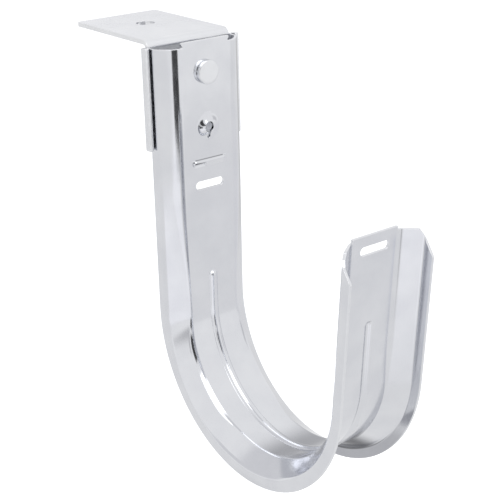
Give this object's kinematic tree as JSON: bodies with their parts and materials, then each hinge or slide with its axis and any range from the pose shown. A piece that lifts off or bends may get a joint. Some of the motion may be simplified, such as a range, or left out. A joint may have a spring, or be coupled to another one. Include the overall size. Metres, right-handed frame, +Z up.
{
  "type": "j hook cable support",
  "caption": "Steel J-shaped hook of channel section that carries a bundle of cables, riveted to an angle bracket with ears that is screwed up to a ceiling.",
  "frame": {"origin": "centre of the ceiling hole, on the top face of the bracket", "axes": "+Z points up into the ceiling, +X runs across the strap, and the cables lie on the -Y side of the shank"},
  "size_m": [0.0504, 0.189, 0.1876],
  "materials": {
    "hook": "bright zinc plating on stamped sheet",
    "bracket": "bright zinc plating on bent sheet",
    "rivet": "bright zinc plating"
  },
  "bodies": {
    "root": {"hook": "hook", "bracket": "bracket", "rivet": "rivet"}
  },
  "joints": []
}
